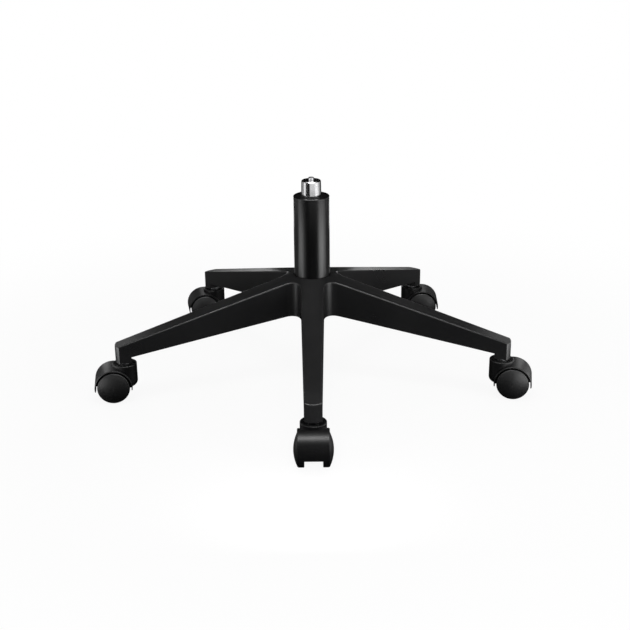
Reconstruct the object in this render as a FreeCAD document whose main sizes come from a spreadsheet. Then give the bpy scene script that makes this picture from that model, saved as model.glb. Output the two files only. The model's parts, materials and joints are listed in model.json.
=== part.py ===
"""Five star base of an office chair: moulded star, gas lift column and five twin-wheel casters.

Millimetres. The origin is on the floor below the column, +Z is up and the front arm points along -Y.
"""
import FreeCAD, Part
import math
import operator
import os

import Sketcher
from types import SimpleNamespace

ARM_COUNT = 5
BALL_COUNT = 10
WHEEL_RIB_COUNT = 6
RIB_BAY_COUNT = 6

# Each caster: its name, the angle of its arm and the heading in which it trails, in degrees from +X.
CASTERS = (
    ("front", 270, 270),
    ("right", 342, 350),
    ("rear_right", 54, 358),
    ("rear_left", 126, 190),
    ("left", 198, 188),
)
FIRST_ARM_ANGLE = 270

SIZES = (
    # Star base: side view of an arm
    ("hub_height", 150),
    ("hub_bottom_height", 96.6),
    ("hub_bottom_radius", 38),
    ("tip_bottom_height", 60),
    ("tip_skin", 5.7),
    ("boss_bottom_height", 55),
    # Star base: plan view of an arm
    ("arm_root_width", 33.8),
    ("arm_tip_width", 22.6),
    ("stem_circle_radius", 272.9),
    ("tip_overhang", 11.5),
    ("tip_end_radius", 20),
    ("post_reach", 8.4),
    ("hub_corner_radius", 16),
    # Star base: edges, walls and ribs
    ("arm_edge_round", 1.9),
    ("tip_corner_round", 2),
    ("arm_skin", 3.6),
    ("arm_wall", 3.4),
    ("hub_wall", 11),
    ("rib_width", 4.5),
    ("socket_depth", 18),
    ("socket_clearance", 0.1),
    # Column tube
    ("column_diameter", 50),
    ("column_wall", 2),
    ("column_rise", 113.2),
    ("column_below_hub", 5),
    ("column_taper", 0.025),
    ("column_seat_clearance", 0.04),
    ("column_floor", 3),
    ("column_collar", 0.6),
    ("bore_chamfer", 1.2),
    ("rim_round", 0.9),
    ("rim_groove_drop", 3.2),
    ("rim_groove_width", 0.9),
    ("rim_groove_depth", 0.35),
    # Guide bush and gas cylinder
    ("bush_length", 70),
    ("bush_recess", 1),
    ("bush_land", 14),
    ("bush_relief", 0.8),
    ("fixed_clearance", 0.03),
    ("slide_clearance", 0.05),
    ("cylinder_diameter", 28),
    ("cylinder_wall", 2),
    ("cylinder_reach", 22.5),
    ("cylinder_lip", 3),
    ("cylinder_chamfer", 0.8),
    ("seat_taper_start", 1),
    ("seat_taper", 0.025),
    # Valve and release pin
    ("valve_length", 16),
    ("valve_roof", 4),
    ("pin_diameter", 8),
    ("pin_reach", 4.2),
    ("pin_round", 1),
    ("pin_head_diameter", 11),
    ("pin_head_height", 2),
    ("pin_head_room", 6),
    ("face_gap", 0.4),
    # Piston rod and what it carries
    ("rod_diameter", 10),
    ("rod_foot_diameter", 8),
    ("rod_foot_reach", 4.5),
    ("rod_shoulder_diameter", 14),
    ("rod_shoulder_height", 3),
    ("rod_guide_length", 14),
    ("rod_seal_length", 5),
    ("piston_length", 10),
    ("piston_room", 2),
    ("piston_clearance", 0.08),
    ("seal_width", 2.2),
    ("seal_depth", 1.8),
    ("bump_stop_diameter", 20),
    ("bump_stop_height", 6),
    ("clip_diameter", 14),
    ("clip_thickness", 1.2),
    ("clip_groove_depth", 0.8),
    ("clip_mouth", 5),
    # Thrust bearing
    ("washer_diameter", 26),
    ("washer_thickness", 2),
    ("ball_diameter", 4),
    ("ball_gap", 0.03),
    ("ball_circle_diameter", 19),
    ("cage_thickness", 2.2),
    ("cage_rim", 1.2),
    # Caster hood
    ("trail", 16.5),
    ("hood_width", 40),
    ("hood_radius", 25.8),
    ("hood_wall", 1.5),
    ("hood_edge_round", 1.2),
    ("lip_height", 18.5),
    ("notch_height", 23.5),
    ("notch_start", 17),
    ("tower_diameter", 33.6),
    ("swivel_gap", 3),
    ("tower_foot_round", 8),
    ("tower_top_round", 1),
    ("cheek_thickness", 4.2),
    ("post_wall", 3.5),
    # Caster stem and its grip ring
    ("journal_diameter", 10),
    ("journal_depth", 26),
    ("stem_clearance", 0.08),
    ("stem_diameter", 11),
    ("stem_chamfer", 1.2),
    ("collar_diameter", 17),
    ("ring_height", 5),
    ("ring_wall", 0.9),
    ("ring_drop", 4),
    ("ring_slit", 1.6),
    # Wheels and axle
    ("wheel_diameter", 44.5),
    ("wheel_track", 23),
    ("wheel_overall_width", 49.8),
    ("tread_width", 6.6),
    ("tread_edge", 0.6),
    ("shoulder_depth", 2.4),
    ("shoulder_round", 3),
    ("wheel_face_wall", 3),
    ("wheel_rim_wall", 4.4),
    ("wheel_hub_diameter", 16),
    ("wheel_rib_thickness", 1.8),
    ("wheel_rib_recess", 2),
    ("wheel_gap", 0.8),
    ("axle_diameter", 8),
    ("axle_length", 41.6),
    ("axle_chamfer", 0.6),
    ("axle_clearance", 0.06),
    ("snap_width", 1.6),
    ("snap_depth", 0.4),
    ("snap_inset", 3),
)

OPERATIONS = {"+": operator.add, "-": operator.sub, "*": operator.mul, "/": operator.truediv}


class Size:
    """A size of the sheet, or one worked out from several, with the expression that gives it."""

    def __init__(self, value, text):
        self.value = float(value)
        self.text = text

    def __add__(self, other):
        return worked_out(self, "+", other)

    def __radd__(self, other):
        return worked_out(other, "+", self)

    def __sub__(self, other):
        return worked_out(self, "-", other)

    def __rsub__(self, other):
        return worked_out(other, "-", self)

    def __mul__(self, other):
        return worked_out(self, "*", other)

    def __rmul__(self, other):
        return worked_out(other, "*", self)

    def __truediv__(self, other):
        return worked_out(self, "/", other)

    def __neg__(self):
        return worked_out(0, "-", self)


def as_size(number):
    return number if isinstance(number, Size) else Size(number, str(number))


def worked_out(left, sign, right):
    left = as_size(left)
    right = as_size(right)
    return Size(OPERATIONS[sign](left.value, right.value), f"({left.text} {sign} {right.text})")


def root(size):
    return Size(math.sqrt(size.value), f"sqrt({size.text})")


doc = FreeCAD.newDocument("five_star_base")
sheet = doc.addObject("Spreadsheet::Sheet", "Sizes")
for row, (alias, number) in enumerate(SIZES, start=1):
    sheet.set(f"A{row}", alias)
    sheet.set(f"B{row}", str(number))
    sheet.setAlias(f"B{row}", alias)
doc.recompute()
s = SimpleNamespace(**{alias: Size(number, f"Sizes.{alias}") for alias, number in SIZES})


# Sketches

def sketch_on(body, plane, name, offset=(0, 0, 0)):
    """A sketch on one of the body's origin planes, moved by offset in the plane's own directions."""
    sketch = body.newObject("Sketcher::SketchObject", name)
    support = next(feature for feature in body.Origin.OriginFeatures if feature.Role == plane)
    sketch.AttachmentSupport = (support, [""])
    sketch.MapMode = "FlatFace"
    for axis, amount in zip("xyz", offset):
        if isinstance(amount, Size):
            sketch.setExpression(f"AttachmentOffset.Base.{axis}", amount.text)
    return sketch


def bind(sketch, constraint, size):
    index = sketch.addConstraint(constraint)
    sketch.setExpression(f"Constraints[{index}]", size.text)


def pin(sketch, geometry, point, x, y):
    """Holds a point of the sketch at x, y from its origin."""
    for amount, kind, axis in ((x, "DistanceX", -2), (y, "DistanceY", -1)):
        if isinstance(amount, Size):
            bind(sketch, Sketcher.Constraint(kind, -1, 1, geometry, point, amount.value), amount)
        else:
            sketch.addConstraint(Sketcher.Constraint("PointOnObject", geometry, point, axis))


def plain(corner):
    return FreeCAD.Vector(as_size(corner[0]).value, as_size(corner[1]).value, 0)


def arc_between(start, end, radius, leftward):
    """The short arc from start to end whose centre is on the left, or on the right, of that way."""
    chord = end - start
    left = FreeCAD.Vector(-chord.y, chord.x, 0).normalize()
    height = math.sqrt(radius * radius - chord.Length * chord.Length / 4)
    centre = (start + end) * 0.5 + left * (height if leftward else -height)
    first, last = (start, end) if leftward else (end, start)
    circle = Part.Circle(centre, FreeCAD.Vector(0, 0, 1), radius)
    return Part.ArcOfCircle(circle, circle.parameter(first), circle.parameter(last))


def outline(sketch, corners):
    """A closed outline. A corner is (x, y), and a line runs on from it to the next corner, or
    (x, y, side, radius), and an arc runs on whose centre lies on that side, left or right."""
    count = len(corners)
    ends = []
    for index, corner in enumerate(corners):
        start = plain(corner)
        end = plain(corners[(index + 1) % count])
        if len(corner) == 2:
            geometry = sketch.addGeometry(Part.LineSegment(start, end))
            ends.append((geometry, 1, 2))
        else:
            leftward = corner[2] == "left"
            geometry = sketch.addGeometry(arc_between(start, end, corner[3].value, leftward))
            ends.append((geometry, 1, 2) if leftward else (geometry, 2, 1))
    for index, corner in enumerate(corners):
        geometry, first, last = ends[index]
        following, following_first, _ = ends[(index + 1) % count]
        sketch.addConstraint(
            Sketcher.Constraint("Coincident", geometry, last, following, following_first))
        pin(sketch, geometry, first, corner[0], corner[1])
        if len(corner) == 4:
            bind(sketch, Sketcher.Constraint("Radius", geometry, corner[3].value), corner[3])
    return sketch


def circle(sketch, x, y, radius):
    centre = FreeCAD.Vector(as_size(x).value, as_size(y).value, 0)
    geometry = sketch.addGeometry(Part.Circle(centre, FreeCAD.Vector(0, 0, 1), radius.value))
    pin(sketch, geometry, 3, x, y)
    bind(sketch, Sketcher.Constraint("Radius", geometry, radius.value), radius)
    return sketch


# Features

def new_body(label):
    return doc.addObject("PartDesign::Body", label)


def feature(body, kind, name, sketch, **properties):
    made = body.newObject(f"PartDesign::{kind}", name)
    made.Profile = sketch
    for key, value in properties.items():
        if isinstance(value, Size):
            made.setExpression(key, value.text)
        else:
            setattr(made, key, value)
    return made


def turned(body, kind, name, sketch):
    """A full turn of the sketch about its own vertical axis: a Revolution adds, a Groove cuts."""
    return feature(body, kind, name, sketch, ReferenceAxis=(sketch, ["V_Axis"]), Angle=360)


def around_axis(body, original, count):
    """Repeats a feature evenly about the body's Z axis."""
    pattern = body.newObject("PartDesign::PolarPattern", f"{original.Name}_round")
    pattern.Originals = [original]
    axis = next(item for item in body.Origin.OriginFeatures if item.Role == "Z_Axis")
    pattern.Axis = (axis, [""])
    pattern.Angle = 360
    pattern.Occurrences = count
    body.Tip = pattern
    return pattern


def mirrored(body, original, plane):
    mirror = body.newObject("PartDesign::Mirrored", f"{original.Name}_mirror")
    mirror.Originals = [original]
    support = next(item for item in body.Origin.OriginFeatures if item.Role == plane)
    mirror.MirrorPlane = (support, [""])
    body.Tip = mirror
    return mirror


def lathe(label, corners):
    """A turned piece: its half section, as radius and height, revolved about Z."""
    body = new_body(label)
    sketch = outline(sketch_on(body, "XZ_Plane", f"{label}_section"), corners)
    turned(body, "Revolution", f"{label}_turned", sketch)
    return body


def primitive(kind, name, **properties):
    made = doc.addObject(f"Part::{kind}", name)
    for key, value in properties.items():
        made.setExpression(key.replace("_at_", "."), as_size(value).text)
    return made


def boolean(kind, name, base, tool):
    made = doc.addObject(f"Part::{kind}", name)
    made.Base = base
    made.Tool = tool
    return made


def ring(body, name, inner, outer, bottom, top):
    """A flat ring between two radii and two heights."""
    sketch = sketch_on(body, "XY_Plane", f"{name}_plan", offset=(0, 0, bottom))
    circle(sketch, 0, 0, outer)
    circle(sketch, 0, 0, inner)
    return feature(body, "Pad", name, sketch, Length=top - bottom)


# Heights and radii that several pieces share

column_radius = s.column_diameter / 2
tube_inside = column_radius - s.column_wall
tube_bottom = s.hub_bottom_height - s.column_below_hub
tube_floor = tube_bottom + s.column_floor
taper_top = s.hub_height + s.column_collar
taper_loss = s.column_taper * (taper_top - tube_bottom)
rim_height = s.hub_height + s.column_rise
bush_top = rim_height - s.bush_recess
bush_bottom = bush_top - s.bush_length

cylinder_radius = s.cylinder_diameter / 2
cylinder_inside = cylinder_radius - s.cylinder_wall
cylinder_top = bush_top + s.cylinder_reach
valve_top = cylinder_top - s.cylinder_lip
valve_bottom = valve_top - s.valve_length
pin_radius = s.pin_diameter / 2

foot_radius = s.rod_foot_diameter / 2
rod_radius = s.rod_diameter / 2
lower_washer_top = tube_floor + s.washer_thickness
upper_washer_bottom = lower_washer_top + s.ball_diameter
shoulder_bottom = upper_washer_bottom + s.washer_thickness
shoulder_top = shoulder_bottom + s.rod_shoulder_height
bump_stop_top = shoulder_top + s.bump_stop_height
cylinder_bottom = bump_stop_top + s.face_gap
guide_top = cylinder_bottom + s.rod_guide_length
piston_top = valve_bottom - s.piston_room
piston_bottom = piston_top - s.piston_length
clip_top = tube_bottom - s.face_gap

wheel_radius = s.wheel_diameter / 2
well_radius = s.hood_radius - s.hood_wall
web_half = s.wheel_track / 2 - s.wheel_gap
tower_radius = s.tower_diameter / 2
journal_radius = s.journal_diameter / 2
tower_top = s.boss_bottom_height - s.swivel_gap
journal_bottom = tower_top - s.journal_depth
stem_radius = s.stem_diameter / 2
stem_top = s.boss_bottom_height + s.socket_depth - s.face_gap
ring_top = stem_top - s.ring_drop
axle_radius = s.axle_diameter / 2
axle_end = s.axle_length / 2
snap_middle = axle_end - s.snap_inset

overrun = s.arm_root_width


# Star base

root_half = s.arm_root_width / 2
tip_half = s.arm_tip_width / 2
tip_radius = s.stem_circle_radius + s.tip_overhang
tip_top = s.boss_bottom_height + s.socket_depth + s.tip_skin
corner_radius_out = tip_radius - s.tip_end_radius + root(
    s.tip_end_radius * s.tip_end_radius - tip_half * tip_half)
side_slope = (root_half - tip_half) / corner_radius_out


def half_width(radius):
    """Half the arm's width at a distance from the column's axis."""
    return root_half - side_slope * radius


def top_corners(sink):
    """The sloping top of hub and arms, lowered by sink, from the column out past the tips."""
    slope = (s.hub_height - tip_top) / (tip_radius - column_radius)
    return [
        (0, s.hub_height + slope * column_radius / 2 - sink),
        (column_radius / 2, s.hub_height + slope * column_radius / 2 - sink),
        (tip_radius + overrun, tip_top - slope * overrun - sink),
    ]


def underside_corners():
    """The sloping underside, which drops to the bottom of the posts that take the casters."""
    slope = (s.hub_bottom_height - s.tip_bottom_height) / (tip_radius - s.hub_bottom_radius)
    post_start = s.stem_circle_radius - s.post_reach
    return [
        (tip_radius + overrun, s.boss_bottom_height),
        (post_start, s.boss_bottom_height),
        (post_start, s.tip_bottom_height + slope * (tip_radius - post_start)),
        (s.hub_bottom_radius, s.hub_bottom_height),
        (0, s.hub_bottom_height),
    ]


def star_prism(label):
    """Five arms in plan, with their corners rounded, from the floor up."""
    body = new_body(label)
    plan = outline(sketch_on(body, "XY_Plane", f"{label}_plan"), [
        (0, -root_half),
        (corner_radius_out, -tip_half, "left", s.tip_end_radius),
        (corner_radius_out, tip_half),
        (0, root_half),
    ])
    arm = feature(body, "Pad", f"{label}_arm", plan, Length=s.hub_height + overrun)
    around_axis(body, arm, ARM_COUNT)
    round_uprights(body, "hollow_corners", s.hub_corner_radius, 0, s.stem_circle_radius.value)
    round_uprights(body, "tip_corners", s.tip_corner_round, s.stem_circle_radius.value, math.inf)
    return body


def round_uprights(body, name, radius, nearest, farthest):
    """Rounds the upright edges between two distances from the column's axis."""
    doc.recompute()
    before = body.Tip
    edges = [
        f"Edge{number}" for number, edge in enumerate(before.Shape.Edges, start=1)
        if is_upright(edge) and nearest < distance_out(edge) < farthest
    ]
    rounds = body.newObject("PartDesign::Fillet", f"{body.Name}_{name}")
    rounds.Base = (before, edges)
    rounds.setExpression("Radius", radius.text)


def is_upright(edge):
    if edge.Curve.TypeId != "Part::GeomLine":
        return False
    return abs(edge.Curve.Direction.z) > 0.999


def distance_out(edge):
    middle = edge.CenterOfMass
    return math.hypot(middle.x, middle.y)


def cut_above(body, sink):
    top = s.hub_height + 2 * overrun
    corners = top_corners(sink) + [(tip_radius + overrun, top), (0, top)]
    sketch = outline(sketch_on(body, "XZ_Plane", f"{body.Name}_top"), corners)
    return turned(body, "Groove", f"{body.Name}_top_cut", sketch)


def cut_below(body, corners, name):
    floor = -overrun
    closed = corners + [(0, floor), (tip_radius + overrun, floor)]
    sketch = outline(sketch_on(body, "XZ_Plane", f"{body.Name}_{name}"), closed)
    return turned(body, "Groove", f"{body.Name}_{name}_cut", sketch)


def rib_cells():
    """Triangular hollows under the arms, up to the skin, which leave zigzag ribs between the walls."""
    body = new_body("star_cells")
    start = column_radius + s.hub_wall
    end = s.stem_circle_radius - tip_half - s.arm_wall
    bay = (end - start) / RIB_BAY_COUNT
    sketch = sketch_on(body, "XY_Plane", "cell_outlines")
    for number in range(RIB_BAY_COUNT + 1):
        side = 1 if number % 2 else -1
        middle = start + bay * number
        first = start if number == 0 else middle - bay + s.rib_width / 2
        last = end if number == RIB_BAY_COUNT else middle + bay - s.rib_width / 2
        outline(sketch, [
            (first, side * (half_width(first) - s.arm_wall)),
            (last, side * (half_width(last) - s.arm_wall)),
            (middle, side * (s.arm_wall - half_width(middle)) * (1 - s.rib_width / bay)),
        ])
    cells = feature(body, "Pad", "cells", sketch, Length=s.hub_height)
    around_axis(body, cells, ARM_COUNT)
    cut_above(body, s.arm_skin)
    return body


def column_seat(body):
    """The tapered seat of the column in the hub, with a chamfered mouth."""
    radius = column_radius + s.column_seat_clearance
    mouth = s.hub_height - s.bore_chamfer
    low = s.hub_bottom_height - s.bore_chamfer
    sketch = outline(sketch_on(body, "XZ_Plane", "seat_section"), [
        (0, low),
        (radius - s.column_taper * (taper_top - low), low),
        (radius - s.column_taper * (taper_top - mouth), mouth),
        (radius + s.bore_chamfer, s.hub_height),
        (radius + s.bore_chamfer, s.hub_height + overrun),
        (0, s.hub_height + overrun),
    ])
    return turned(body, "Groove", "seat_cut", sketch)


def caster_sockets(body):
    sketch = sketch_on(body, "XY_Plane", f"{body.Name}_socket", offset=(0, 0, s.boss_bottom_height))
    circle(sketch, s.stem_circle_radius, 0, stem_radius + s.socket_clearance)
    return feature(body, "Pocket", f"{body.Name}_socket_cut", sketch,
                   Length=s.socket_depth, Reversed=True)


def top_outline_edges(shape):
    """The numbers of the edges round the outside of the top."""
    top_faces = [face for face in shape.Faces if looks_up(face)]
    shared = [edge.hashCode() for face in top_faces for edge in face.Edges]
    return [
        number for number, edge in enumerate(shape.Edges, start=1)
        if shared.count(edge.hashCode()) == 1 and outside_column(edge)
        and len(shape.ancestorsOfType(edge, Part.Face)) == 2
    ]


def looks_up(face):
    first_u, last_u, first_v, last_v = face.ParameterRange
    normal = face.normalAt((first_u + last_u) / 2, (first_v + last_v) / 2)
    return normal.z > 0.9 and face.BoundBox.ZMax > tip_top.value


def outside_column(edge):
    reach = max(math.hypot(vertex.X, vertex.Y) for vertex in edge.Vertexes)
    return reach > column_radius.value + 2 * s.bore_chamfer.value


def star_base():
    solid = star_prism("star_solid")
    cut_above(solid, as_size(0))
    cut_below(solid, underside_corners(), "underside")
    column_seat(solid)
    around_axis(solid, caster_sockets(solid), ARM_COUNT)
    hollowed = boolean("Cut", "star_hollowed", solid, rib_cells())
    doc.recompute()

    rounded = doc.addObject("Part::Fillet", "star_base")
    rounded.Base = hollowed
    edge_round = s.arm_edge_round.value
    rounded.Edges = [(number, edge_round, edge_round) for number in top_outline_edges(hollowed.Shape)]
    rounded.Placement.Rotation = FreeCAD.Rotation(FreeCAD.Vector(0, 0, 1), FIRST_ARM_ANGLE)
    return rounded


# Column and gas lift

def column_tube():
    groove_top = rim_height - s.rim_groove_drop
    groove_bottom = groove_top - s.rim_groove_width
    bottom_radius = column_radius - taper_loss
    hole = foot_radius + s.piston_clearance
    return lathe("column_tube", [
        (hole, tube_bottom),
        (bottom_radius, tube_bottom),
        (column_radius, taper_top),
        (column_radius, groove_bottom),
        (column_radius - s.rim_groove_depth, groove_bottom),
        (column_radius - s.rim_groove_depth, groove_top),
        (column_radius, groove_top),
        (column_radius, rim_height - s.rim_round, "left", s.rim_round),
        (column_radius - s.rim_round, rim_height),
        (tube_inside, rim_height),
        (tube_inside, taper_top),
        (bottom_radius - s.column_wall, tube_floor),
        (hole, tube_floor),
    ])


def guide_bush():
    bore = cylinder_radius + s.slide_clearance
    outside = tube_inside - s.fixed_clearance
    return lathe("guide_bush", [
        (bore, bush_bottom),
        (outside, bush_bottom),
        (outside, bush_top),
        (bore, bush_top),
        (bore, bush_top - s.bush_land),
        (bore + s.bush_relief, bush_top - s.bush_land - s.bush_relief),
        (bore + s.bush_relief, bush_bottom + s.bush_land + s.bush_relief),
        (bore, bush_bottom + s.bush_land),
    ])


def gas_cylinder():
    taper_bottom = bush_top + s.seat_taper_start
    end_radius = cylinder_radius - s.seat_taper * (cylinder_top - taper_bottom)
    mouth = pin_radius + s.valve_roof / 4
    return lathe("gas_cylinder", [
        (cylinder_inside, cylinder_bottom),
        (cylinder_radius, cylinder_bottom),
        (cylinder_radius, taper_bottom),
        (end_radius, cylinder_top - s.cylinder_chamfer),
        (end_radius - s.cylinder_chamfer, cylinder_top),
        (mouth, cylinder_top),
        (mouth, valve_top),
        (cylinder_inside, valve_top),
    ])


def valve_housing():
    bore = pin_radius + s.slide_clearance
    room = s.pin_head_diameter / 2 + s.face_gap
    room_top = valve_top - s.valve_roof
    room_bottom = room_top - s.pin_head_room
    outside = cylinder_inside - s.fixed_clearance
    return lathe("valve_housing", [
        (0, valve_bottom),
        (outside, valve_bottom),
        (outside, valve_top),
        (bore, valve_top),
        (bore, room_top),
        (room, room_top),
        (room, room_bottom),
        (0, room_bottom),
    ])


def release_pin():
    head_top = valve_top - s.valve_roof - s.face_gap
    head_bottom = head_top - s.pin_head_height
    tip = cylinder_top + s.pin_reach
    return lathe("release_pin", [
        (0, head_bottom),
        (s.pin_head_diameter / 2, head_bottom),
        (s.pin_head_diameter / 2, head_top),
        (pin_radius, head_top),
        (pin_radius, tip - s.pin_round, "left", s.pin_round),
        (pin_radius - s.pin_round, tip),
        (0, tip),
    ])


def sleeve(label, inside, outside, bottom, top):
    return lathe(label, [(inside, bottom), (outside, bottom), (outside, top), (inside, top)])


def piston_rod():
    foot_bottom = tube_bottom - s.rod_foot_reach
    groove = foot_radius - s.clip_groove_depth
    return lathe("piston_rod", [
        (0, foot_bottom),
        (foot_radius, foot_bottom),
        (foot_radius, clip_top - s.clip_thickness),
        (groove, clip_top - s.clip_thickness),
        (groove, clip_top),
        (foot_radius, clip_top),
        (foot_radius, shoulder_bottom),
        (s.rod_shoulder_diameter / 2, shoulder_bottom),
        (s.rod_shoulder_diameter / 2, shoulder_top),
        (rod_radius, shoulder_top),
        (rod_radius, piston_top),
        (0, piston_top),
    ])


def piston():
    outside = cylinder_inside - s.piston_clearance
    middle = (piston_bottom + piston_top) / 2
    return lathe("piston", [
        (rod_radius, piston_bottom),
        (outside, piston_bottom),
        (outside, middle - s.seal_width / 2),
        (outside - s.seal_depth, middle - s.seal_width / 2),
        (outside - s.seal_depth, middle + s.seal_width / 2),
        (outside, middle + s.seal_width / 2),
        (outside, piston_top),
        (rod_radius, piston_top),
    ])


def piston_seal():
    middle = (piston_bottom + piston_top) / 2
    outside = cylinder_inside - s.slide_clearance
    inside = cylinder_inside - s.piston_clearance - s.seal_depth
    return sleeve("piston_seal", inside, outside, middle - s.seal_width / 2, middle + s.seal_width / 2)


def ball_pieces(name, **shapes):
    """One shape for each ball of the bearing, set out on the ball circle."""
    pieces = []
    circle_radius = s.ball_circle_diameter / 2
    for number in range(BALL_COUNT):
        angle = 360 * number / BALL_COUNT
        piece = primitive(shapes["kind"], f"{name}_{number}", **shapes["sizes"])
        piece.setExpression("Placement.Base.x", f"{circle_radius.text} * cos({angle} deg)")
        piece.setExpression("Placement.Base.y", f"{circle_radius.text} * sin({angle} deg)")
        piece.setExpression("Placement.Base.z", shapes["height"].text)
        pieces.append(piece)
    return pieces


def bearing_balls():
    balls = doc.addObject("Part::Compound", "bearing_balls")
    ball_radius = s.ball_diameter / 2 - s.ball_gap
    middle = (lower_washer_top + upper_washer_bottom) / 2
    balls.Links = ball_pieces("ball", kind="Sphere", sizes={"Radius": ball_radius}, height=middle)
    return balls


def bearing_cage():
    blank = new_body("cage_blank")
    middle = (lower_washer_top + upper_washer_bottom) / 2
    bottom = middle - s.cage_thickness / 2
    circle_radius = s.ball_circle_diameter / 2
    pocket_radius = s.ball_diameter / 2 + s.slide_clearance
    ring(blank, "cage_ring", circle_radius - pocket_radius - s.cage_rim,
         circle_radius + pocket_radius + s.cage_rim, bottom, bottom + s.cage_thickness)
    pockets = doc.addObject("Part::MultiFuse", "cage_pockets")
    pockets.Shapes = ball_pieces("cage_pocket", kind="Cylinder", height=bottom - s.cage_rim,
                                 sizes={"Radius": pocket_radius,
                                        "Height": s.cage_thickness + 2 * s.cage_rim})
    return boolean("Cut", "bearing_cage", blank, pockets)


def slit_ring(label, inner, outer, bottom, top, mouth):
    """A spring ring, open on one side."""
    body = new_body(label)
    ring(body, f"{label}_ring", inner, outer, bottom, top)
    sketch = outline(sketch_on(body, "XY_Plane", f"{label}_mouth"), [
        (0, -mouth / 2), (2 * outer, -mouth / 2), (2 * outer, mouth / 2), (0, mouth / 2)])
    feature(body, "Pocket", f"{label}_slit", sketch, Type="ThroughAll", Reversed=True)
    return body


def gas_lift():
    upper_washer_bore = foot_radius + s.fixed_clearance
    lower_washer_bore = foot_radius + s.face_gap
    washer_radius = s.washer_diameter / 2
    guide_radius = cylinder_inside - s.fixed_clearance
    guide_bore = rod_radius + s.slide_clearance
    return [
        column_tube(),
        guide_bush(),
        gas_cylinder(),
        valve_housing(),
        release_pin(),
        sleeve("rod_guide", guide_bore, guide_radius, cylinder_bottom, guide_top),
        sleeve("rod_seal", guide_bore, guide_radius, guide_top, guide_top + s.rod_seal_length),
        piston_rod(),
        piston(),
        piston_seal(),
        sleeve("bump_stop", rod_radius + s.fixed_clearance, s.bump_stop_diameter / 2,
               shoulder_top, bump_stop_top),
        sleeve("bearing_upper_washer", upper_washer_bore, washer_radius,
               upper_washer_bottom, shoulder_bottom),
        bearing_cage(),
        bearing_balls(),
        sleeve("bearing_lower_washer", lower_washer_bore, washer_radius, tube_floor, lower_washer_top),
        slit_ring("retaining_clip", foot_radius - s.clip_groove_depth, s.clip_diameter / 2,
                  clip_top - s.clip_thickness, clip_top, s.clip_mouth),
    ]


# Casters: each piece is made once, with the stem on Z and the trail along +X

def caster_hood():
    body = new_body("hood_master")
    foot = s.tower_foot_round
    top = s.tower_top_round
    tower = outline(sketch_on(body, "XZ_Plane", "tower_section"), [
        (0, s.lip_height),
        (tower_radius - foot, s.lip_height, "left", foot),
        (tower_radius, s.lip_height + foot),
        (tower_radius, tower_top - top, "left", top),
        (tower_radius - top, tower_top),
        (0, tower_top),
    ])
    turned(body, "Revolution", "tower", tower)

    axle_place = (s.trail, 0, wheel_radius)
    half = s.hood_width / 2
    edge = s.hood_edge_round
    drum = outline(sketch_on(body, "XY_Plane", "drum_section", offset=axle_place), [
        (0, -half),
        (s.hood_radius - edge, -half, "left", edge),
        (s.hood_radius, edge - half),
        (s.hood_radius, half - edge, "left", edge),
        (s.hood_radius - edge, half),
        (0, half),
    ])
    turned(body, "Revolution", "drum", drum)

    reach = 3 * s.hood_radius
    below = outline(sketch_on(body, "XZ_Plane", "below_lip"), [
        (-reach, -reach), (reach, -reach), (reach, s.lip_height), (-reach, s.lip_height)])
    feature(body, "Pocket", "lip_cut", below, Type="ThroughAll", SideType="Symmetric")

    well = circle(sketch_on(body, "XZ_Plane", "well_circle", offset=(0, 0, web_half)),
                  s.trail, wheel_radius, well_radius)
    mirrored(body, feature(body, "Pocket", "wheel_well", well, Length=s.hood_width, Reversed=True),
             "XZ_Plane")

    post_edge = journal_radius + s.post_wall
    rise = root(well_radius * well_radius - (s.trail - post_edge) * (s.trail - post_edge))
    hollow = outline(sketch_on(body, "XZ_Plane", "hollow_outline"), [
        (post_edge, wheel_radius - rise, "left", well_radius),
        (s.trail + well_radius, wheel_radius, "left", well_radius),
        (post_edge, wheel_radius + rise),
    ])
    feature(body, "Pocket", "cheek_hollow", hollow, SideType="Symmetric",
            Length=2 * (web_half - s.cheek_thickness))

    drop = wheel_radius - s.notch_height
    low = 2 * s.tower_top_round
    low_drop = wheel_radius - s.lip_height + low
    notch = outline(sketch_on(body, "XZ_Plane", "notch_outline"), [
        (s.trail + s.notch_start, s.lip_height - low),
        (s.trail + root(well_radius * well_radius - low_drop * low_drop), s.lip_height - low,
         "left", well_radius),
        (s.trail + root(well_radius * well_radius - drop * drop), s.notch_height),
        (s.trail + s.notch_start, s.notch_height),
    ])
    feature(body, "Pocket", "lip_notch", notch, SideType="Symmetric", Length=s.hood_width)

    bore = journal_radius + s.stem_clearance
    floor = journal_bottom - s.face_gap
    bead_low = journal_bottom + s.snap_inset + s.snap_width / 4
    bead_high = journal_bottom + s.snap_inset + s.snap_width * 3 / 4
    bead = journal_radius - s.snap_depth / 2
    socket = outline(sketch_on(body, "XZ_Plane", "stem_bore_section"), [
        (0, floor),
        (bore, floor),
        (bore, bead_low),
        (bead, bead_low),
        (bead, bead_high),
        (bore, bead_high),
        (bore, tower_top + top),
        (0, tower_top + top),
    ])
    turned(body, "Groove", "stem_bore", socket)

    axle_hole = circle(sketch_on(body, "XZ_Plane", "axle_hole_circle"), s.trail, wheel_radius, axle_radius)
    feature(body, "Pocket", "axle_hole", axle_hole, Type="ThroughAll", SideType="Symmetric")
    return body


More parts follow.
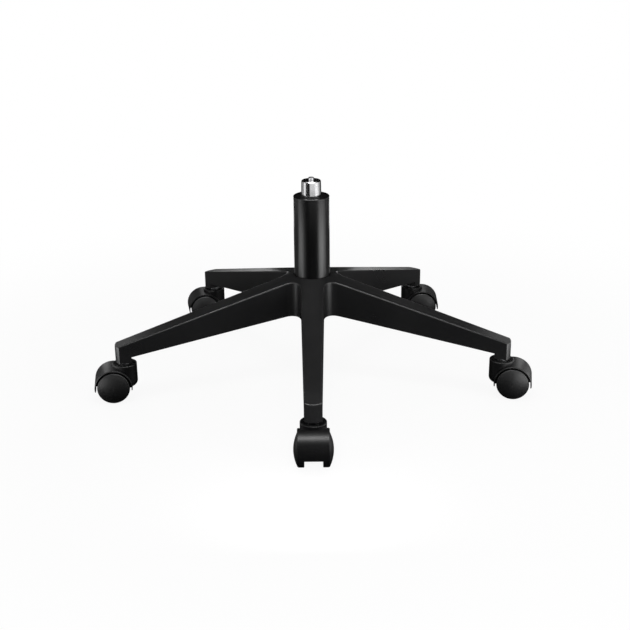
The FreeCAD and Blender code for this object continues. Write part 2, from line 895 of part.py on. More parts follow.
def caster_stem():
    collar_bottom = tower_top + s.face_gap
    collar_radius = s.collar_diameter / 2
    groove_low = journal_bottom + s.snap_inset
    ring_radius = stem_radius - s.ring_wall
    return lathe("stem_master", [
        (0, journal_bottom),
        (journal_radius, journal_bottom),
        (journal_radius, groove_low),
        (journal_radius - s.snap_depth, groove_low),
        (journal_radius - s.snap_depth, groove_low + s.snap_width),
        (journal_radius, groove_low + s.snap_width),
        (journal_radius, collar_bottom),
        (collar_radius, collar_bottom),
        (collar_radius, s.boss_bottom_height),
        (stem_radius, s.boss_bottom_height),
        (stem_radius, ring_top - s.ring_height),
        (ring_radius, ring_top - s.ring_height),
        (ring_radius, ring_top),
        (stem_radius, ring_top),
        (stem_radius, stem_top - s.stem_chamfer),
        (stem_radius - s.stem_chamfer, stem_top),
        (0, stem_top),
    ])


def grip_ring():
    inner = stem_radius - s.ring_wall + s.fixed_clearance
    outer = stem_radius + s.socket_clearance - s.fixed_clearance
    return slit_ring("grip_master", inner, outer, ring_top - s.ring_height, ring_top, s.ring_slit)


def wheel_axle():
    """A plain pin along Z with a snap groove near each end."""
    chamfer = s.axle_chamfer
    groove = axle_radius - s.snap_depth
    near = snap_middle - s.snap_width / 2
    far = snap_middle + s.snap_width / 2
    upper_half = [
        (axle_radius, near),
        (groove, near),
        (groove, far),
        (axle_radius, far),
        (axle_radius, axle_end - chamfer),
        (axle_radius - chamfer, axle_end),
        (0, axle_end),
    ]
    lower_half = [(radius, -height) for radius, height in reversed(upper_half)]
    return lathe("axle_master", lower_half + upper_half)


def caster_wheel():
    """A domed wheel on Z, hollow and ribbed on its inner side; heights start at the caster's middle."""
    bore = axle_radius + s.axle_clearance
    bore_end = axle_end + s.face_gap
    bead = axle_radius - s.snap_depth / 2
    hub_radius = s.wheel_hub_diameter / 2
    hub_face = web_half + s.face_gap
    rim_inside = wheel_radius - s.wheel_rim_wall
    inner_face = s.wheel_track / 2
    tread_end = inner_face + s.tread_width
    dome_edge_radius = wheel_radius - s.shoulder_depth
    dome_edge = tread_end + s.shoulder_depth
    apex = s.wheel_overall_width / 2
    bulge = apex - dome_edge
    dome_radius = (dome_edge_radius * dome_edge_radius + bulge * bulge) / (2 * bulge)
    floor_at_rim = dome_edge - s.wheel_face_wall / 2
    floor_at_hub = apex - s.wheel_face_wall
    body = lathe("wheel_master", [
        (bore, hub_face),
        (hub_radius, hub_face),
        (hub_radius, floor_at_hub),
        (rim_inside, floor_at_rim),
        (rim_inside, inner_face),
        (wheel_radius - s.tread_edge, inner_face),
        (wheel_radius, inner_face + s.tread_edge),
        (wheel_radius, tread_end, "left", s.shoulder_round),
        (dome_edge_radius, dome_edge, "left", dome_radius),
        (0, apex),
        (0, bore_end),
        (bore, bore_end),
        (bore, snap_middle + s.snap_width / 4),
        (bead, snap_middle + s.snap_width / 4),
        (bead, snap_middle - s.snap_width / 4),
        (bore, snap_middle - s.snap_width / 4),
    ])
    sunk = s.wheel_rib_thickness / 2
    rib = outline(sketch_on(body, "XZ_Plane", "wheel_rib_outline"), [
        (hub_radius - sunk, inner_face + s.wheel_rib_recess),
        (rim_inside + sunk, inner_face + s.wheel_rib_recess),
        (rim_inside + sunk, floor_at_rim + sunk),
        (hub_radius - sunk, floor_at_hub + sunk),
    ])
    around_axis(body, feature(body, "Pad", "wheel_rib", rib, SideType="Symmetric",
                              Length=s.wheel_rib_thickness), WHEEL_RIB_COUNT)
    return body


def placed(master, label, arm_angle, heading, along=None, height=None, tilt=0):
    """A copy of a caster's piece on its arm, turned to the heading and moved along the trail."""
    copy = doc.addObject("Part::Compound", label)
    copy.Links = [master]
    turn = FreeCAD.Rotation(FreeCAD.Vector(0, 0, 1), heading)
    copy.Placement.Rotation = turn * FreeCAD.Rotation(FreeCAD.Vector(1, 0, 0), tilt)
    trail = along.text if along else "0"
    for axis, function in (("x", "cos"), ("y", "sin")):
        copy.setExpression(
            f"Placement.Base.{axis}",
            f"{s.stem_circle_radius.text} * {function}({arm_angle} deg)"
            f" + {trail} * {function}({heading} deg)")
    if height:
        copy.setExpression("Placement.Base.z", height.text)
    return copy


def casters():
    hood = caster_hood()
    stem = caster_stem()
    grip = grip_ring()
    axle = wheel_axle()
    wheel = caster_wheel()
    pieces = []
    for name, arm_angle, heading in CASTERS:
        on_axle = {"along": s.trail, "height": wheel_radius}
        pieces += [
            placed(hood, f"caster_hood_{name}", arm_angle, heading),
            placed(stem, f"caster_stem_{name}", arm_angle, heading),
            placed(grip, f"grip_ring_{name}", arm_angle, heading),
            placed(axle, f"wheel_axle_{name}", arm_angle, heading, tilt=90, **on_axle),
            placed(wheel, f"left_wheel_{name}", arm_angle, heading, tilt=-90, **on_axle),
            placed(wheel, f"right_wheel_{name}", arm_angle, heading, tilt=90, **on_axle),
        ]
    return pieces


def check_and_write(pieces):
    doc.recompute()
    for item in doc.Objects:
        if "Invalid" in item.State or "Error" in item.State:
            raise RuntimeError(f"{item.Name} failed: {item.State}")
    for piece in pieces:
        if piece.Shape.isNull() or not piece.Shape.isValid() or not piece.Shape.Solids:
            raise RuntimeError(f"{piece.Label} has no valid solid")
    os.makedirs("parts", exist_ok=True)
    for piece in pieces:
        piece.Shape.exportStep(f"parts/{piece.Label}.step")


check_and_write([star_base()] + gas_lift() + casters())
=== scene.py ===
"""Looks of a five star chair base with its gas lift and casters."""

import json
import math

import bpy
from mathutils import Matrix, Vector


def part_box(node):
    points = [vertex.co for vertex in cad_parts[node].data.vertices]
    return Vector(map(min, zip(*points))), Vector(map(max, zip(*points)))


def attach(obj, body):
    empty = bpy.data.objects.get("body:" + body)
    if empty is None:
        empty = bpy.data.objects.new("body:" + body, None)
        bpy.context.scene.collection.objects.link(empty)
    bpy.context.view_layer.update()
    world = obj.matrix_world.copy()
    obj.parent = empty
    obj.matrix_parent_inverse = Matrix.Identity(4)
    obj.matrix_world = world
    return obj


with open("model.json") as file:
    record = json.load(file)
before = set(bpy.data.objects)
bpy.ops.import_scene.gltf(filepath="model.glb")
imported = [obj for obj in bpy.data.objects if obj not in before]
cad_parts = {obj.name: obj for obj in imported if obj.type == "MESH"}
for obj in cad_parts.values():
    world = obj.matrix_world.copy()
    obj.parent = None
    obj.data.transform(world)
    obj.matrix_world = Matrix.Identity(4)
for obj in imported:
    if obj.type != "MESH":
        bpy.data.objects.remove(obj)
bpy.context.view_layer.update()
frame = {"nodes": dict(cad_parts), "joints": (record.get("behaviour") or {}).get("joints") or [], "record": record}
nodes = frame["nodes"]

ARM_ANGLES = [math.radians(270 + 72 * number) for number in range(5)]
CASTER_NAMES = ("front", "right", "rear_right", "rear_left", "left")

# Detail pieces, with lengths in metres. A hood's seat is measured from the lower end of its stem.
HOOD_SEAT_HEIGHT = 0.0261
HOOD_RIBS = {"Count": 24, "Ring Radius": 0.0126, "Rib Length": 0.0046, "Rib Width": 0.0009,
             "Rib Height": 0.0012}
EJECTOR_ROW = {"Count": 5, "First": 0.073, "Step": 0.037, "Slope": 0.2749, "Height at Axis": 0.15327,
               "Mark Radius": 0.003, "Mark Depth": 0.0008}
EJECTOR_SIDES = 24

# Slow patterns in the finishes, in patches for each metre
FLOW_PATCHES = 14.0
RUB_PATCHES = 17.0

# Places of the colour sockets in a mix node, whose names are shared with its other sockets
MIX_FIRST = 6
MIX_SECOND = 7
MIX_RESULT = 2

# Stage, with lengths in metres
FLOOR_REACH = 12.0
FLOOR_HEIGHT = -0.0004
FLOOR_CARD_HEIGHT = -0.0002
FLOOR_TO_THE_EYE = (0.95, 0.95, 0.95)
FLOOR_TO_THE_OBJECT = (0.45, 0.45, 0.45)
FLOOR_WHITENESS = 0.9
SHADOW_REACH = (0.35, 0.9)
WORLD_LEVEL = 0.42
SET_RADIUS = 0.42
INNER_RADIUS = 0.415
LOW_CARD = 0.12
CARD_STEP_DEGREES = 6
FLOOR_CARD_SIDES = 60
HUB = (0.0, 0.0, 0.1)
COLUMN_FOOT = (0.0, 0.0, 0.15)
FRONT_TIP = (0.0, -0.284, 0.066)

# Camera: lengths in metres, turns in radians, picture sizes in pixels
PICTURE_WIDTH = 630.0
FOCAL_LENGTH = 1152.85
CENTRE_SHIFT = (2.26, 5.93)
SENSOR_MILLIMETRES = 36.0
CAMERA_PLACE = (0.00417, -1.54325, 0.67611)
CAMERA_PAN = 0.0027
CAMERA_TILT = math.radians(68.804)
CAMERA_ROLL = -0.0116


# Shader groups shared by the finishes

def shader_group(name, inputs, outputs):
    """An empty node group with float inputs {name: default} and the named float outputs."""
    group = bpy.data.node_groups.new(name, "ShaderNodeTree")
    for label, value in inputs.items():
        socket = group.interface.new_socket(label, in_out="INPUT", socket_type="NodeSocketFloat")
        socket.default_value = value
    for label in outputs:
        group.interface.new_socket(label, in_out="OUTPUT", socket_type="NodeSocketFloat")
    return group, group.nodes.new("NodeGroupInput"), group.nodes.new("NodeGroupOutput")


def math_node(tree, operation, first, second):
    """The output of a math node. Each operand is a number or another node's output."""
    node = tree.nodes.new("ShaderNodeMath")
    node.operation = operation
    for socket, value in zip(node.inputs, (first, second)):
        if isinstance(value, (int, float)):
            socket.default_value = value
        else:
            tree.links.new(value, socket)
    return node.outputs[0]


def noise_node(tree, vector, scale, detail=2.0, roughness=0.5):
    """Noise of a scale that is a number or another node's output."""
    node = tree.nodes.new("ShaderNodeTexNoise")
    node.inputs["Detail"].default_value = detail
    node.inputs["Roughness"].default_value = roughness
    if isinstance(scale, (int, float)):
        node.inputs["Scale"].default_value = scale
    else:
        tree.links.new(scale, node.inputs["Scale"])
    tree.links.new(vector, node.inputs["Vector"])
    return node.outputs["Fac"]


def ramp_node(tree, value, low, high):
    """0 below low, 1 above high, eased between them."""
    node = tree.nodes.new("ShaderNodeMapRange")
    node.interpolation_type = "SMOOTHSTEP"
    node.inputs["From Min"].default_value = low
    node.inputs["From Max"].default_value = high
    tree.links.new(value, node.inputs["Value"])
    return node.outputs["Result"]


def object_place(tree):
    """The place on the piece, in its own coordinates."""
    return tree.nodes.new("ShaderNodeTexCoord").outputs["Object"]


def moulded_grain():
    """Spark-eroded mould grain: fine pits, with a slow change of gloss where the melt cooled."""
    group, given, result = shader_group(
        "moulded_grain", {"Grains per Metre": 1400.0}, ("Height", "Gloss Change", "Shade"))
    place = object_place(group)
    pits = group.nodes.new("ShaderNodeTexVoronoi")
    pits.feature = "SMOOTH_F1"
    group.links.new(given.outputs["Grains per Metre"], pits.inputs["Scale"])
    group.links.new(place, pits.inputs["Vector"])
    fine = noise_node(group, place, given.outputs["Grains per Metre"], detail=3.0, roughness=0.6)
    height = math_node(group, "ADD", pits.outputs["Distance"], fine)
    flow = noise_node(group, place, FLOW_PATCHES, detail=3.0, roughness=0.55)
    speckle = math_node(group, "MULTIPLY", fine, 0.3)
    shade = ramp_node(group, math_node(group, "ADD", flow, speckle), low=0.35, high=1.0)
    group.links.new(height, result.inputs["Height"])
    group.links.new(math_node(group, "SUBTRACT", flow, 0.5), result.inputs["Gloss Change"])
    group.links.new(shade, result.inputs["Shade"])
    return group


def handling_scuffs():
    """Thin rubbed streaks where shoes, hands and the floor touch, strongest in patches."""
    group, given, result = shader_group(
        "handling_scuffs", {"Streaks per Metre": 90.0, "Amount": 0.5}, ("Mask",))
    place = object_place(group)
    stretch = group.nodes.new("ShaderNodeMapping")
    stretch.inputs["Rotation"].default_value = (0.3, 0.2, 0.6)
    stretch.inputs["Scale"].default_value = (1.0, 9.0, 4.0)
    group.links.new(place, stretch.inputs["Vector"])
    streaks = noise_node(group, stretch.outputs["Vector"], given.outputs["Streaks per Metre"],
                         detail=4.0, roughness=0.65)
    patches = noise_node(group, place, RUB_PATCHES)
    mask = math_node(group, "MULTIPLY", ramp_node(group, streaks, low=0.58, high=0.74),
                     ramp_node(group, patches, low=0.45, high=0.7))
    group.links.new(math_node(group, "MULTIPLY", mask, given.outputs["Amount"]), result.inputs["Mask"])
    return group


def turned_lines():
    """Fine lines that run round the column's axis, left by turning and polishing."""
    group, given, result = shader_group("turned_lines", {"Lines per Metre": 2600.0}, ("Height", "Mask"))
    squeeze = group.nodes.new("ShaderNodeMapping")
    squeeze.inputs["Scale"].default_value = (0.01, 0.01, 1.0)
    group.links.new(object_place(group), squeeze.inputs["Vector"])
    lines = noise_node(group, squeeze.outputs["Vector"], given.outputs["Lines per Metre"])
    group.links.new(lines, result.inputs["Height"])
    group.links.new(ramp_node(group, lines, low=0.35, high=0.7), result.inputs["Mask"])
    return group


GRAIN = moulded_grain()
SCUFFS = handling_scuffs()
LINES = turned_lines()


# Finishes

def finish(name, roughness, metallic=0.0, specular=0.5, coat=0.0):
    """A material with a Principled shader whose constant values sit on its own sockets."""
    material = bpy.data.materials.new(name)
    material.use_nodes = True
    shader = material.node_tree.nodes["Principled BSDF"]
    shader.inputs["Roughness"].default_value = roughness
    shader.inputs["Metallic"].default_value = metallic
    shader.inputs["Specular IOR Level"].default_value = specular
    shader.inputs["Coat Weight"].default_value = coat
    shader.inputs["Coat Roughness"].default_value = 0.2
    return material, material.node_tree, shader


def use_group(tree, group, **values):
    """The outputs of a shader group, with its inputs set by their names."""
    node = tree.nodes.new("ShaderNodeGroup")
    node.node_tree = group
    for label, value in values.items():
        node.inputs[label.replace("_", " ")].default_value = value
    return node.outputs


def between(tree, factor, first, second):
    """Colour that goes from the first to the second with the factor."""
    mix = tree.nodes.new("ShaderNodeMix")
    mix.data_type = "RGBA"
    tree.links.new(factor, mix.inputs["Factor"])
    for socket, colour in ((mix.inputs[MIX_FIRST], first), (mix.inputs[MIX_SECOND], second)):
        if isinstance(colour, tuple):
            socket.default_value = (*colour, 1.0)
        else:
            tree.links.new(colour, socket)
    return mix.outputs[MIX_RESULT]


def relief(tree, shader, height, distance, strength):
    """Fine relief of a height, as deep as the distance in metres."""
    bump = tree.nodes.new("ShaderNodeBump")
    bump.inputs["Distance"].default_value = distance
    bump.inputs["Strength"].default_value = strength
    tree.links.new(height, bump.inputs["Height"])
    tree.links.new(bump.outputs["Normal"], shader.inputs["Normal"])


def rough_from(tree, shader, level, *changes):
    """Roughness of a level with each (output, amount) added."""
    total = level
    for output, amount in changes:
        total = math_node(tree, "ADD", math_node(tree, "MULTIPLY", output, amount), total)
    tree.links.new(total, shader.inputs["Roughness"])


def moulding(name, dark, pale, worn, roughness, grain, depth, scuffs, specular):
    """Moulded black plastic: grain, slow gloss change and light scuffs."""
    material, tree, shader = finish(name, roughness, specular=specular)
    surface = use_group(tree, GRAIN, Grains_per_Metre=grain)
    rubbed = use_group(tree, SCUFFS, Amount=scuffs)
    body = between(tree, surface["Shade"], dark, pale)
    tree.links.new(between(tree, rubbed["Mask"], body, worn), shader.inputs["Base Color"])
    rough_from(tree, shader, roughness, (surface["Gloss Change"], 0.16), (rubbed["Mask"], -0.1))
    relief(tree, shader, surface["Height"], distance=depth, strength=0.5)
    return material


def turned_metal(name, dark, pale, roughness, lines, depth):
    """Bright metal with fine lines round its axis."""
    material, tree, shader = finish(name, roughness, metallic=1.0)
    surface = use_group(tree, LINES, Lines_per_Metre=lines)
    tree.links.new(between(tree, surface["Mask"], dark, pale), shader.inputs["Base Color"])
    rough_from(tree, shader, roughness, (surface["Mask"], 0.06))
    relief(tree, shader, surface["Height"], distance=depth, strength=0.3)
    return material


def powder_coat(name, dark, pale, roughness):
    """Satin black paint with a slight orange peel and a few rubs."""
    material, tree, shader = finish(name, roughness, coat=0.15)
    surface = use_group(tree, GRAIN, Grains_per_Metre=650.0)
    rubbed = use_group(tree, SCUFFS, Streaks_per_Metre=60.0, Amount=0.25)
    tree.links.new(between(tree, surface["Shade"], dark, pale), shader.inputs["Base Color"])
    rough_from(tree, shader, roughness, (surface["Gloss Change"], 0.08), (rubbed["Mask"], 0.12))
    relief(tree, shader, surface["Height"], distance=0.000006, strength=0.3)
    return material


FINISHES = {
    "star_nylon": moulding(
        "star_nylon",
        dark=(0.0088, 0.0088, 0.0092), pale=(0.0112, 0.0112, 0.0116), worn=(0.018, 0.018, 0.019),
        roughness=0.30, grain=1500.0, depth=0.00004, scuffs=0.08, specular=0.42),
    "hood_plastic": moulding(
        "hood_plastic",
        dark=(0.0022, 0.0022, 0.0024), pale=(0.0034, 0.0034, 0.0036), worn=(0.008, 0.008, 0.008),
        roughness=0.40, grain=1700.0, depth=0.00003, scuffs=0.35, specular=0.36),
    "wheel_plastic": moulding(
        "wheel_plastic",
        dark=(0.0018, 0.0018, 0.0020), pale=(0.0030, 0.0030, 0.0032), worn=(0.008, 0.008, 0.008),
        roughness=0.48, grain=1900.0, depth=0.00003, scuffs=0.4, specular=0.50),
    # The guide bush is black plastic. Its finish is made darker still and nearly without gloss, which paints in
    # the shade of a deep hollow at the column's open top.
    "bush_plastic": moulding(
        "bush_plastic",
        dark=(0.0014, 0.0014, 0.0015), pale=(0.0022, 0.0022, 0.0023), worn=(0.004, 0.004, 0.004),
        roughness=0.68, grain=1200.0, depth=0.00003, scuffs=0.2, specular=0.06),
    "seal_rubber": moulding(
        "seal_rubber",
        dark=(0.0110, 0.0110, 0.0110), pale=(0.0160, 0.0160, 0.0160), worn=(0.026, 0.026, 0.026),
        roughness=0.75, grain=900.0, depth=0.00008, scuffs=0.2, specular=0.3),
    "column_paint": powder_coat(
        "column_paint",
        dark=(0.0012, 0.0012, 0.0014), pale=(0.0020, 0.0020, 0.0022),
        roughness=0.28),
    "cylinder_chrome": turned_metal(
        "cylinder_chrome",
        dark=(0.70, 0.70, 0.71), pale=(0.80, 0.80, 0.81),
        roughness=0.14, lines=2600.0, depth=0.000004),
    "pin_steel": turned_metal(
        "pin_steel",
        dark=(0.42, 0.42, 0.43), pale=(0.58, 0.58, 0.59),
        roughness=0.30, lines=1800.0, depth=0.00002),
}

for row in frame["record"]["subparts"]:
    mesh = nodes[row["node"]].data
    mesh.materials.clear()
    mesh.materials.append(FINISHES[row["material_slot"]])


# Detail pieces grown by geometry nodes

def node_tree(name, inputs):
    """An empty geometry tree with float or integer inputs {name: default}."""
    tree = bpy.data.node_groups.new(name, "GeometryNodeTree")
    for label, value in inputs.items():
        kind = "NodeSocketInt" if isinstance(value, int) else "NodeSocketFloat"
        tree.interface.new_socket(label, in_out="INPUT", socket_type=kind).default_value = value
    tree.interface.new_socket("Geometry", in_out="OUTPUT", socket_type="NodeSocketGeometry")
    return tree, tree.nodes.new("NodeGroupInput"), tree.nodes.new("NodeGroupOutput")


def end_tree(tree, result, geometry, material):
    """Every tree ends with real faces and the finish on them."""
    real = tree.nodes.new("GeometryNodeRealizeInstances")
    painted = tree.nodes.new("GeometryNodeSetMaterial")
    painted.inputs["Material"].default_value = material
    tree.links.new(geometry, real.inputs["Geometry"])
    tree.links.new(real.outputs["Geometry"], painted.inputs["Geometry"])
    tree.links.new(painted.outputs["Geometry"], result.inputs["Geometry"])


def grown(name, tree, values, place):
    """Runs a tree with the given sizes and keeps its result as a plain mesh at its place."""
    seed = bpy.data.objects.new(name + "_seed", bpy.data.meshes.new(name + "_seed"))
    bpy.context.scene.collection.objects.link(seed)
    modifier = seed.modifiers.new("tree", "NODES")
    modifier.node_group = tree
    for item in tree.interface.items_tree:
        if item.in_out == "INPUT":
            modifier[item.identifier] = values[item.name]
    bpy.context.view_layer.update()
    ready = seed.evaluated_get(bpy.context.evaluated_depsgraph_get())
    mesh = bpy.data.meshes.new_from_object(ready)
    mesh.name = name
    mesh.transform(place)
    bpy.data.objects.remove(seed)
    piece = bpy.data.objects.new(name, mesh)
    bpy.context.scene.collection.objects.link(piece)
    return piece


def ring_of_ribs(material):
    """Small upright ribs in a ring, as on the seat of a caster hood round its stem."""
    tree, given, result = node_tree("ring_of_ribs", HOOD_RIBS)
    circle = tree.nodes.new("GeometryNodeCurvePrimitiveCircle")
    tree.links.new(given.outputs["Ring Radius"], circle.inputs["Radius"])
    spots = tree.nodes.new("GeometryNodeCurveToPoints")
    tree.links.new(given.outputs["Count"], spots.inputs["Count"])
    tree.links.new(circle.outputs["Curve"], spots.inputs["Curve"])
    size = tree.nodes.new("ShaderNodeCombineXYZ")
    for label, axis in (("Rib Width", "X"), ("Rib Length", "Y"), ("Rib Height", "Z")):
        tree.links.new(given.outputs[label], size.inputs[axis])
    block = tree.nodes.new("GeometryNodeMeshCube")
    tree.links.new(size.outputs["Vector"], block.inputs["Size"])
    turn = tree.nodes.new("FunctionNodeAlignEulerToVector")
    turn.axis = "Y"
    turn.pivot_axis = "Z"
    where = tree.nodes.new("GeometryNodeInputPosition")
    tree.links.new(where.outputs["Position"], turn.inputs["Vector"])
    copies = tree.nodes.new("GeometryNodeInstanceOnPoints")
    tree.links.new(spots.outputs["Points"], copies.inputs["Points"])
    tree.links.new(block.outputs["Mesh"], copies.inputs["Instance"])
    tree.links.new(turn.outputs["Rotation"], copies.inputs["Rotation"])
    end_tree(tree, result, copies.outputs["Instances"], material)
    return tree


def ejector_marks(material):
    """Shallow round marks of the mould's ejector pins in a row under a sloping arm."""
    tree, given, result = node_tree("ejector_marks", EJECTOR_ROW)
    row = tree.nodes.new("GeometryNodeMeshLine")
    tree.links.new(given.outputs["Count"], row.inputs["Count"])
    for label, name, level in (("First", "Start Location", given.outputs["Height at Axis"]),
                               ("Step", "Offset", 0.0)):
        along = given.outputs[label]
        fall = math_node(tree, "MULTIPLY", along, given.outputs["Slope"])
        spot = tree.nodes.new("ShaderNodeCombineXYZ")
        tree.links.new(along, spot.inputs["X"])
        tree.links.new(math_node(tree, "SUBTRACT", level, fall), spot.inputs["Z"])
        tree.links.new(spot.outputs["Vector"], row.inputs[name])
    disc = tree.nodes.new("GeometryNodeMeshCylinder")
    disc.inputs["Vertices"].default_value = EJECTOR_SIDES
    tree.links.new(given.outputs["Mark Radius"], disc.inputs["Radius"])
    tree.links.new(given.outputs["Mark Depth"], disc.inputs["Depth"])
    tilt = tree.nodes.new("ShaderNodeCombineXYZ")
    tree.links.new(math_node(tree, "ARCTANGENT", given.outputs["Slope"], 0.0), tilt.inputs["Y"])
    copies = tree.nodes.new("GeometryNodeInstanceOnPoints")
    tree.links.new(row.outputs["Mesh"], copies.inputs["Points"])
    tree.links.new(disc.outputs["Mesh"], copies.inputs["Instance"])
    tree.links.new(tilt.outputs["Vector"], copies.inputs["Rotation"])
    end_tree(tree, result, copies.outputs["Instances"], material)
    return tree


def dress_casters():
    """A ring of ribs on the seat of each hood, which turns with its caster."""
    tree = ring_of_ribs(FINISHES["hood_plastic"])
    for joint in frame["joints"]:
        if joint["name"].startswith("caster_swivel_"):
            name = joint["name"].removeprefix("caster_swivel_")
            x, y, _ = joint["pos_m"]
            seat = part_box("caster_stem_" + name)[0].z + HOOD_SEAT_HEIGHT
            ribs = grown("hood_ribs_" + name, tree, HOOD_RIBS, Matrix.Translation((x, y, seat)))
            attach(ribs, "caster_" + name)


def dress_star():
    """A row of ejector marks under each arm."""
    tree = ejector_marks(FINISHES["star_nylon"])
    for name, angle in zip(CASTER_NAMES, ARM_ANGLES):
        marks = grown("ejector_marks_" + name, tree, EJECTOR_ROW, Matrix.Rotation(angle, 4, "Z"))
        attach(marks, "base")


dress_casters()
dress_star()


# Stage: pale floor and white surroundings

def white_to_the_eye(tree):
    """1 for camera, mirror and glass rays, so that the surroundings look white there."""
    path = tree.nodes.new("ShaderNodeLightPath")
    seen = math_node(tree, "MAXIMUM", path.outputs["Is Camera Ray"], path.outputs["Is Glossy Ray"])
    return math_node(tree, "MAXIMUM", seen, path.outputs["Is Transmission Ray"])


def floor_finish():
    """Pale floor that looks white to the eye, with the object's shadow on it, and throws back less."""
    material = bpy.data.materials.new("pale_floor")
    material.use_nodes = True
    tree = material.node_tree
    tree.nodes.remove(tree.nodes["Principled BSDF"])
    matt = tree.nodes.new("ShaderNodeBsdfDiffuse")
    seen = white_to_the_eye(tree)
    tree.links.new(between(tree, seen, FLOOR_TO_THE_OBJECT, FLOOR_TO_THE_EYE), matt.inputs["Color"])
    glow = tree.nodes.new("ShaderNodeEmission")
    mix = tree.nodes.new("ShaderNodeMixShader")
    reach = tree.nodes.new("ShaderNodeVectorMath")
    reach.operation = "LENGTH"
    tree.links.new(object_place(tree), reach.inputs[0])
    far = math_node(tree, "MULTIPLY", ramp_node(tree, reach.outputs["Value"], *SHADOW_REACH),
                    1.0 - FLOOR_WHITENESS)
    whiteness = math_node(tree, "MULTIPLY", seen, math_node(tree, "ADD", far, FLOOR_WHITENESS))
    tree.links.new(whiteness, mix.inputs["Fac"])
    tree.links.new(matt.outputs["BSDF"], mix.inputs[1])
    tree.links.new(glow.outputs["Emission"], mix.inputs[2])
    tree.links.new(mix.outputs["Shader"], tree.nodes["Material Output"].inputs["Surface"])
    return material


def level_rectangle(left, right, near, far, height):
    """The corners of a level rectangle."""
    return [(left, near, height), (right, near, height), (right, far, height), (left, far, height)]


def stage():
    """The floor, and a world that looks white and lights the object at a plain level."""
    mesh = bpy.data.meshes.new("floor")
    corners = level_rectangle(-FLOOR_REACH, FLOOR_REACH, -FLOOR_REACH, FLOOR_REACH, FLOOR_HEIGHT)
    mesh.from_pydata(corners, [], [(0, 1, 2, 3)])
    mesh.materials.append(floor_finish())
    floor = bpy.data.objects.new("floor", mesh)
    bpy.context.scene.collection.objects.link(floor)

    world = bpy.data.worlds.new("studio")
    bpy.context.scene.world = world
    world.use_nodes = True
    tree = world.node_tree
    tree.nodes["Background"].inputs["Color"].default_value = (1.0, 1.0, 1.0, 1.0)
    strength = math_node(tree, "MAXIMUM", white_to_the_eye(tree), WORLD_LEVEL)
    tree.links.new(strength, tree.nodes["Background"].inputs["Strength"])


def reflection_card(name, corners, faces, glow=0.0):
    """A card that only reflections show. It is dark, or glows with the given strength."""
    mesh = bpy.data.meshes.new(name)
    mesh.from_pydata(corners, [], faces)
    material = bpy.data.materials.new(name)
    material.use_nodes = True
    shader = material.node_tree.nodes["Principled BSDF"]
    shader.inputs["Base Color"].default_value = (0.004, 0.004, 0.004, 1.0)
    shader.inputs["Roughness"].default_value = 1.0
    shader.inputs["Specular IOR Level"].default_value = 0.0
    shader.inputs["Emission Color"].default_value = (1.0, 1.0, 1.0, 1.0)
    shader.inputs["Emission Strength"].default_value = glow
    mesh.materials.append(material)
    card = bpy.data.objects.new(name, mesh)
    for kind in ("camera", "diffuse", "shadow", "transmission", "volume_scatter"):
        setattr(card, "visible_" + kind, False)
    bpy.context.scene.collection.objects.link(card)


def upright_cards(name, radius, *spans, glow=0.0):
    """Curved cards that stand round the set: (from, to, bottom, top) each, with the angles in degrees
    from the camera's side."""
    corners, faces = [], []
    for start, end, bottom, top in spans:
        steps = max(2, round((end - start) / CARD_STEP_DEGREES))
        for step in range(steps + 1):
            angle = math.radians(start + (end - start) * step / steps)
            x, y = radius * math.sin(angle), -radius * math.cos(angle)
            corners += [(x, y, bottom), (x, y, top)]
            if step:
                last = len(corners)
                faces.append((last - 4, last - 2, last - 1, last - 3))
    reflection_card(name, corners, faces, glow)


def paired_cards(name, radius, span, glow):
    """Two curved cards, one on the right and its mirror image on the left."""
    start, end, bottom, top = span
    upright_cards(name, radius, span, (-end, -start, bottom, top), glow=glow)


def floor_card():
    """A round dark card that lies on the floor."""
    turns = [math.tau * step / FLOOR_CARD_SIDES for step in range(FLOOR_CARD_SIDES)]
    corners = [(SET_RADIUS * math.cos(turn), SET_RADIUS * math.sin(turn), FLOOR_CARD_HEIGHT)
               for turn in turns]
    reflection_card("floor_card", corners, [tuple(range(FLOOR_CARD_SIDES))])


def place_cards():
    """Dark cards that keep the blacks deep, and glowing ones that give the highlights."""
    upright_cards("black_cards", SET_RADIUS, (-52, 42, 0.0, LOW_CARD), (88, 270, 0.0, LOW_CARD),
                  (95, 265, LOW_CARD, 2.0), (-66, -16, LOW_CARD, 0.30), (-16, 42, LOW_CARD, 0.18))
    floor_card()
    before_front_hood = level_rectangle(-0.06, 0.06, -0.45, -0.325, LOW_CARD)
    reflection_card("hood_flag", before_front_hood, [(0, 1, 2, 3)])
    upright_cards("left_reflector", SET_RADIUS, (-88, -54, 0.0, LOW_CARD), glow=2.4)
    upright_cards("right_reflector", SET_RADIUS, (44, 80, 0.0, LOW_CARD), glow=3.8)
    upright_cards("right_reflector_fade", INNER_RADIUS, (80, 98, 0.0, LOW_CARD), glow=1.5)
    upright_cards("left_reflector_fade", INNER_RADIUS, (-54, -38, 0.0, LOW_CARD), glow=0.5)
    paired_cards("rear_reflectors", INNER_RADIUS, (104, 122, 0.125, 0.28), glow=0.5)
    paired_cards("rear_side_glow", INNER_RADIUS, (104, 142, 0.0, LOW_CARD), glow=0.12)
    paired_cards("hood_glow", 0.32, (84, 96, 0.045, 0.09), glow=1.4)
    paired_cards("tip_glints", 0.41, (66, 75, 0.0, 0.03), glow=8.0)
    paired_cards("edge_glow", INNER_RADIUS, (148, 168, 0.10, 0.16), glow=1.6)


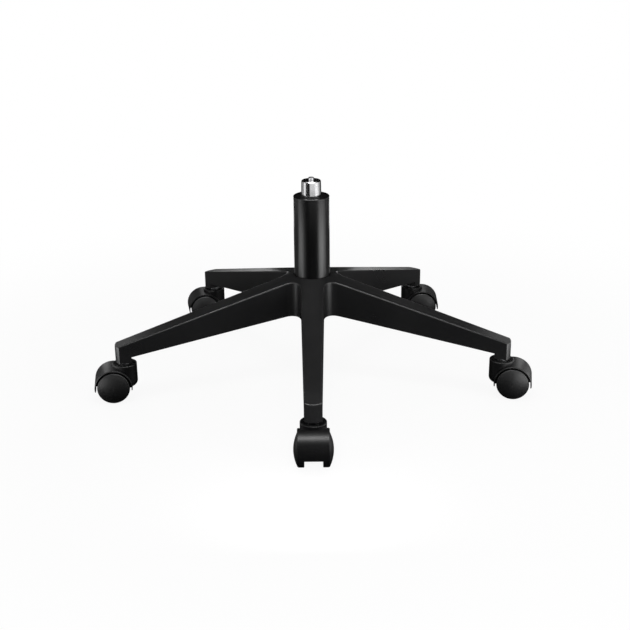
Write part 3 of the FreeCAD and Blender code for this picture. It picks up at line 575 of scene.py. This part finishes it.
def softbox(name, place, target, width, height, power, diffuse=True, glossy=True):
    """A flat lamp that faces its target, with its size in metres and its power in watts."""
    light = bpy.data.lights.new(name, "AREA")
    light.shape = "RECTANGLE"
    light.size = width
    light.size_y = height
    light.energy = power
    lamp = bpy.data.objects.new(name, light)
    lamp.location = place
    lamp.visible_camera = False
    lamp.visible_diffuse = diffuse
    lamp.visible_glossy = glossy
    lamp.rotation_euler = (Vector(target) - Vector(place)).to_track_quat("-Z", "Y").to_euler()
    bpy.context.scene.collection.objects.link(lamp)


def place_lamps():
    """Soft light from above, strips at the sides and behind, and low fills for the faces in front."""
    softbox("overhead_softbox", (0.0, -0.35, 1.7), HUB, width=0.9, height=0.35, power=3.2)
    softbox("edge_light", (0.0, -0.33, 1.4), HUB, width=0.9, height=0.22, power=11.0, diffuse=False)
    softbox("left_strip", (-1.39, -0.80, 0.62), COLUMN_FOOT, width=0.5, height=1.2, power=5.0)
    softbox("right_strip", (1.39, -0.80, 0.62), COLUMN_FOOT, width=0.5, height=1.2, power=7.0)
    softbox("rear_left_strip", (-0.85, 1.35, 0.62), COLUMN_FOOT, width=0.3, height=1.2, power=3.5)
    softbox("rear_right_strip", (0.85, 1.35, 0.62), COLUMN_FOOT, width=0.3, height=1.2, power=3.5)
    softbox("front_fill", (0.8, -1.4, 0.3), HUB, width=1.2, height=0.3, power=7.0, glossy=False)
    softbox("tip_fill", (0.0, -0.47, 0.10), FRONT_TIP, width=0.08, height=0.05, power=0.3, glossy=False)


def camera():
    """A camera in front of the object and above it, with a slight roll."""
    lens = bpy.data.cameras.new("camera")
    lens.sensor_width = SENSOR_MILLIMETRES
    lens.lens = SENSOR_MILLIMETRES * FOCAL_LENGTH / PICTURE_WIDTH
    lens.shift_x, lens.shift_y = (shift / PICTURE_WIDTH for shift in CENTRE_SHIFT)
    lens.clip_start = 0.05
    eye = bpy.data.objects.new("camera", lens)
    eye.matrix_world = (Matrix.Translation(CAMERA_PLACE)
                        @ Matrix.Rotation(CAMERA_PAN, 4, "Z")
                        @ Matrix.Rotation(CAMERA_TILT, 4, "X")
                        @ Matrix.Rotation(CAMERA_ROLL, 4, "Z"))
    bpy.context.scene.collection.objects.link(eye)
    bpy.context.scene.camera = eye


stage()
place_cards()
place_lamps()
camera()

bpy.context.scene.view_settings.view_transform = "Standard"
